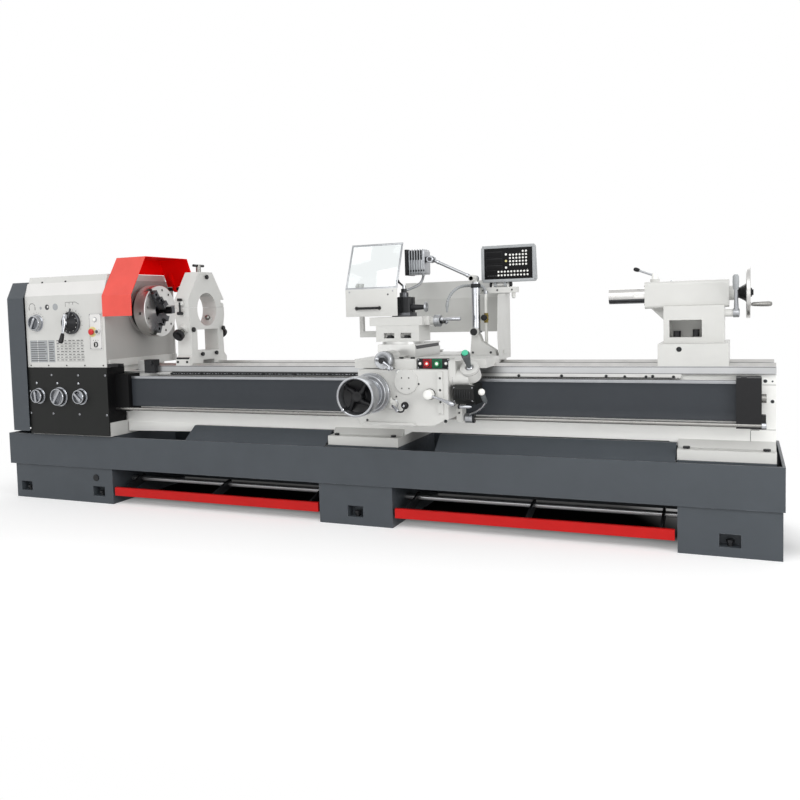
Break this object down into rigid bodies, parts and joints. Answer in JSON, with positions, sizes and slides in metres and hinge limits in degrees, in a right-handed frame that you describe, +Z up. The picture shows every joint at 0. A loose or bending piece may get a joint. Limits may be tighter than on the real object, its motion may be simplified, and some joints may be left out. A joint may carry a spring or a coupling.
{
  "type": "engine lathe",
  "caption": "Manual gap-bed engine lathe with headstock, jaw chuck under a guard, carriage with readout, steady rest, tailstock and brake bar.",
  "frame": {"origin": "on the floor under the spindle axis, in the middle of the length of the chip tray", "axes": "+X along the bed towards the tailstock, -Y towards the operator, +Z up"},
  "size_m": [4.48, 1.169, 1.497],
  "materials": {
    "base_paint": "textured dark grey machine paint",
    "light_paint": "satin light grey machine paint",
    "gearbox_paint": "satin black paint",
    "red_paint": "satin red paint",
    "way_steel": "painted iron with ground ways",
    "steel": "turned steel",
    "dark_steel": "blackened steel",
    "chrome": "bright chrome",
    "black_plastic": "matt black plastic",
    "blind_cloth": "coated steel strip",
    "belt_mix": "grey iron and painted motor",
    "knob": "satin metal with a black grip",
    "red_button": "gloss red plastic",
    "green_button": "gloss green plastic",
    "slide_iron": "ground iron",
    "cast_light": "light grey paint on cast iron",
    "lamp_alloy": "cast alloy",
    "readout_case": "grey case with a black face"
  },
  "bodies": {
    "base": {"pedestals": "base_paint", "bed_fasteners": "dark_steel", "chip_tray": "base_paint", "bed": "way_steel", "feed_rack": "steel", "headstock": "cast_light", "feed_gearbox": "gearbox_paint", "blind_cassettes": "black_plastic", "blind_left": "blind_cloth", "blind_right": "blind_cloth", "belt_drive": "belt_mix"},
    "brake_bar": {"brake_pedals": "red_paint"},
    "side_cover": {"end_cover": "base_paint"},
    "feed_screw": {"lead_screw": "steel"},
    "start_rod": {"control_rod": "chrome"},
    "work_spindle": {"spindle": "steel", "chuck_body": "steel"},
    "jaw_1": {"chuck_jaw_1": "steel"},
    "jaw_2": {"chuck_jaw_2": "steel"},
    "jaw_3": {"chuck_jaw_3": "steel"},
    "guard": {"chuck_guard": "red_paint"},
    "stop_mushroom": {"emergency_button": "red_button"},
    "speed_selector": {"speed_lever": "knob"},
    "range_selector": {"range_knob": "knob"},
    "feed_selector_1": {"feed_knob_1": "knob"},
    "feed_selector_2": {"feed_knob_2": "knob"},
    "feed_selector_3": {"feed_knob_3": "knob"},
    "carriage": {"saddle": "cast_light", "apron": "cast_light", "rapid_unit": "cast_light", "splash_guard": "light_paint", "support_post": "light_paint", "coolant_line": "steel"},
    "apron_wheel": {"carriage_handwheel": "knob"},
    "feed_handle": {"feed_lever": "chrome"},
    "nut_handle": {"half_nut_lever": "chrome"},
    "on_button": {"start_button": "green_button"},
    "off_button": {"stop_button": "red_button"},
    "rapid_stick": {"joystick": "black_plastic"},
    "start_handle": {"spindle_lever": "chrome"},
    "slide": {"cross_slide": "slide_iron"},
    "slide_crank": {"cross_crank": "chrome"},
    "compound": {"compound_base": "cast_light"},
    "tool_slide": {"top_slide": "cast_light"},
    "tool_slide_crank": {"top_crank": "chrome"},
    "post": {"tool_post": "dark_steel"},
    "shield": {"chip_shield": "light_paint"},
    "lamp_lower": {"lamp_arm": "lamp_alloy"},
    "lamp_upper": {"lamp_head": "lamp_alloy"},
    "display": {"readout": "readout_case"},
    "tailstock": {"tailstock_body": "cast_light"},
    "barrel": {"quill": "steel"},
    "tail_wheel": {"tailstock_wheel": "steel"},
    "barrel_lock": {"quill_lock_lever": "steel"},
    "tail_clamp": {"tailstock_clamp_lever": "steel"},
    "steady": {"steady_frame": "cast_light"},
    "steady_lid": {"steady_cap": "cast_light"},
    "finger_1": {"steady_finger_1": "steel"},
    "finger_2": {"steady_finger_2": "steel"},
    "finger_3": {"steady_finger_3": "steel"}
  },
  "joints": [
    {"name": "brake_press", "type": "hinge", "parent": "base", "child": "brake_bar", "pos_m": [0, -0.12, 0.128], "axis": [1, 0, 0], "range_deg": [0, 10], "stiffness_Nm_per_rad": 300, "springref_deg": -22.92},
    {"name": "side_cover_hinge", "type": "hinge", "parent": "base", "child": "side_cover", "pos_m": [-2.004, 0.348, 0.9], "axis": [0, 0, -1], "range_deg": [0, 100]},
    {"name": "spindle_turn", "type": "hinge", "parent": "base", "child": "work_spindle", "pos_m": [-1.39, 0, 1.17], "axis": [1, 0, 0], "continuous": true},
    {"name": "lead_screw_turn", "type": "hinge", "parent": "base", "child": "feed_screw", "pos_m": [0.4, -0.226, 0.7], "axis": [1, 0, 0], "continuous": true},
    {"name": "start_rod_turn", "type": "hinge", "parent": "base", "child": "start_rod", "pos_m": [0.4, -0.284, 0.586], "axis": [1, 0, 0], "range_deg": [-12, 12]},
    {"name": "jaw_1_slide", "type": "slide", "parent": "work_spindle", "child": "jaw_1", "axis": [0, -0.5736, 0.8192], "range_m": [-0.012, 0.03]},
    {"name": "jaw_2_slide", "type": "slide", "parent": "work_spindle", "child": "jaw_2", "axis": [0, 0.9962, 0.0872], "range_m": [-0.012, 0.03]},
    {"name": "jaw_3_slide", "type": "slide", "parent": "work_spindle", "child": "jaw_3", "axis": [0, -0.4226, -0.9063], "range_m": [-0.012, 0.03]},
    {"name": "guard_lift", "type": "hinge", "parent": "base", "child": "guard", "pos_m": [-1.28, 0.283, 1.312], "axis": [-1, 0, 0], "range_deg": [0, 80]},
    {"name": "emergency_press", "type": "slide", "parent": "base", "child": "stop_mushroom", "axis": [0, 1, 0], "range_m": [0, 0.008]},
    {"name": "speed_turn", "type": "hinge", "parent": "base", "child": "speed_selector", "pos_m": [-1.647, -0.36, 1.112], "axis": [0, 1, 0], "range_deg": [-60, 60]},
    {"name": "range_turn", "type": "hinge", "parent": "base", "child": "range_selector", "pos_m": [-1.928, -0.36, 1.117], "axis": [0, 1, 0], "range_deg": [-90, 90]},
    {"name": "feed_turn_1", "type": "hinge", "parent": "base", "child": "feed_selector_1", "pos_m": [-1.935, -0.36, 0.662], "axis": [0, 1, 0], "range_deg": [-120, 120]},
    {"name": "feed_turn_2", "type": "hinge", "parent": "base", "child": "feed_selector_2", "pos_m": [-1.765, -0.36, 0.659], "axis": [0, 1, 0], "range_deg": [-120, 120]},
    {"name": "feed_turn_3", "type": "hinge", "parent": "base", "child": "feed_selector_3", "pos_m": [-1.598, -0.36, 0.662], "axis": [0, 1, 0], "range_deg": [-120, 120]},
    {"name": "carriage_travel", "type": "slide", "parent": "base", "child": "carriage", "axis": [1, 0, 0], "range_m": [-1, 0.5], "deforming": ["blind_left", "blind_right"]},
    {"name": "carriage_wheel_turn", "type": "hinge", "parent": "carriage", "child": "apron_wheel", "pos_m": [0.4, -0.5, 0.73], "axis": [0, 1, 0], "continuous": true},
    {"name": "feed_engage", "type": "hinge", "parent": "carriage", "child": "feed_handle", "pos_m": [0.492, -0.46, 0.67], "axis": [0, 1, 0], "range_deg": [-25, 25]},
    {"name": "half_nut_engage", "type": "hinge", "parent": "carriage", "child": "nut_handle", "pos_m": [0.683, -0.46, 0.721], "axis": [0, 1, 0], "range_deg": [-30, 0]},
    {"name": "on_press", "type": "slide", "parent": "carriage", "child": "on_button", "axis": [0, 1, 0], "range_m": [0, 0.004], "stiffness_N_per_m": 250, "springref_m": -0.002},
    {"name": "off_press", "type": "slide", "parent": "carriage", "child": "off_button", "axis": [0, 1, 0], "range_m": [0, 0.004], "stiffness_N_per_m": 250, "springref_m": -0.002},
    {"name": "rapid_tilt", "type": "hinge", "parent": "carriage", "child": "rapid_stick", "pos_m": [0.873, -0.41201, 0.84246], "axis": [0, 0.7431, 0.6691], "range_deg": [-15, 15], "stiffness_Nm_per_rad": 4},
    {"name": "start_lever_turn", "type": "hinge", "parent": "carriage", "child": "start_handle", "pos_m": [0.832, -0.284, 0.586], "axis": [1, 0, 0], "range_deg": [-12, 12]},
    {"name": "cross_travel", "type": "slide", "parent": "carriage", "child": "slide", "axis": [0, 1, 0], "range_m": [-0.05, 0.12]},
    {"name": "cross_crank_turn", "type": "hinge", "parent": "carriage", "child": "slide_crank", "pos_m": [0.438, -0.44, 0.886], "axis": [0, 1, 0], "continuous": true},
    {"name": "compound_swivel", "type": "hinge", "parent": "slide", "child": "compound", "pos_m": [0.418, -0.113, 0.96], "axis": [0, 0, 1], "range_deg": [-45, 0]},
    {"name": "tool_slide_travel", "type": "slide", "parent": "compound", "child": "tool_slide", "axis": [1, 0, 0], "range_m": [-0.015, 0.08]},
    {"name": "tool_slide_crank_turn", "type": "hinge", "parent": "tool_slide", "child": "tool_slide_crank", "pos_m": [0.61, -0.113, 1.072], "axis": [1, 0, 0], "continuous": true},
    {"name": "tool_post_turn", "type": "hinge", "parent": "tool_slide", "child": "post", "pos_m": [0.428, -0.113, 1.15], "axis": [0, 0, 1], "range_deg": [-30, 30]},
    {"name": "shield_lift", "type": "hinge", "parent": "compound", "child": "shield", "pos_m": [0.13, -0.047, 1.27], "axis": [-1, 0, 0], "range_deg": [0, 30]},
    {"name": "lamp_arm_turn", "type": "hinge", "parent": "carriage", "child": "lamp_lower", "pos_m": [0.762, 0.086, 1.29], "axis": [0, 1, 0], "range_deg": [-25, 40]},
    {"name": "lamp_head_turn", "type": "hinge", "parent": "lamp_lower", "child": "lamp_upper", "pos_m": [0.52, 0.063, 1.405], "axis": [0, 1, 0], "range_deg": [-40, 40]},
    {"name": "display_tilt", "type": "hinge", "parent": "carriage", "child": "display", "pos_m": [0.885, 0.15, 1.255], "axis": [1, 0, 0], "range_deg": [-20, 20]},
    {"name": "tailstock_travel", "type": "slide", "parent": "base", "child": "tailstock", "axis": [1, 0, 0], "range_m": [-0.5, 0.12]},
    {"name": "barrel_travel", "type": "slide", "parent": "tailstock", "child": "barrel", "axis": [1, 0, 0], "range_m": [-0.06, 0.165]},
    {"name": "tail_wheel_turn", "type": "hinge", "parent": "tailstock", "child": "tail_wheel", "pos_m": [2.095, 0, 1.17], "axis": [1, 0, 0], "continuous": true},
    {"name": "barrel_lock_turn", "type": "hinge", "parent": "tailstock", "child": "barrel_lock", "pos_m": [1.685, 0, 1.25], "axis": [0, 0, 1], "range_deg": [-20, 60]},
    {"name": "tail_clamp_turn", "type": "hinge", "parent": "tailstock", "child": "tail_clamp", "pos_m": [2.04, -0.078, 1.078], "axis": [1, 0, 0], "range_deg": [0, 60]},
    {"name": "steady_travel", "type": "slide", "parent": "base", "child": "steady", "axis": [1, 0, 0], "range_m": [-0.12, 0.9]},
    {"name": "steady_lid_lift", "type": "hinge", "parent": "steady", "child": "steady_lid", "pos_m": [-0.955, 0.174, 1.194], "axis": [-1, 0, 0], "range_deg": [0, 100]},
    {"name": "finger_1_slide", "type": "slide", "parent": "steady_lid", "child": "finger_1", "axis": [0, 0, 1], "range_m": [-0.03, 0.02]},
    {"name": "finger_2_slide", "type": "slide", "parent": "steady", "child": "finger_2", "axis": [0, -0.8387, -0.5446], "range_m": [-0.03, 0.02]},
    {"name": "finger_3_slide", "type": "slide", "parent": "steady", "child": "finger_3", "axis": [0, 0.8387, -0.5446], "range_m": [-0.03, 0.02]}
  ],
  "couplings": [
    {"joint": "lead_screw_turn", "follows": "spindle_turn", "ratio": 0.5},
    {"joint": "start_rod_turn", "follows": "start_lever_turn", "ratio": 1},
    {"joint": "jaw_2_slide", "follows": "jaw_1_slide", "ratio": 1},
    {"joint": "jaw_3_slide", "follows": "jaw_1_slide", "ratio": 1},
    {"joint": "carriage_wheel_turn", "follows": "carriage_travel", "rad_per_m": 196.35},
    {"joint": "cross_crank_turn", "follows": "cross_travel", "rad_per_m": 1256.6},
    {"joint": "tool_slide_crank_turn", "follows": "tool_slide_travel", "rad_per_m": 1570.8},
    {"joint": "tail_wheel_turn", "follows": "barrel_travel", "rad_per_m": 1256.6}
  ]
}
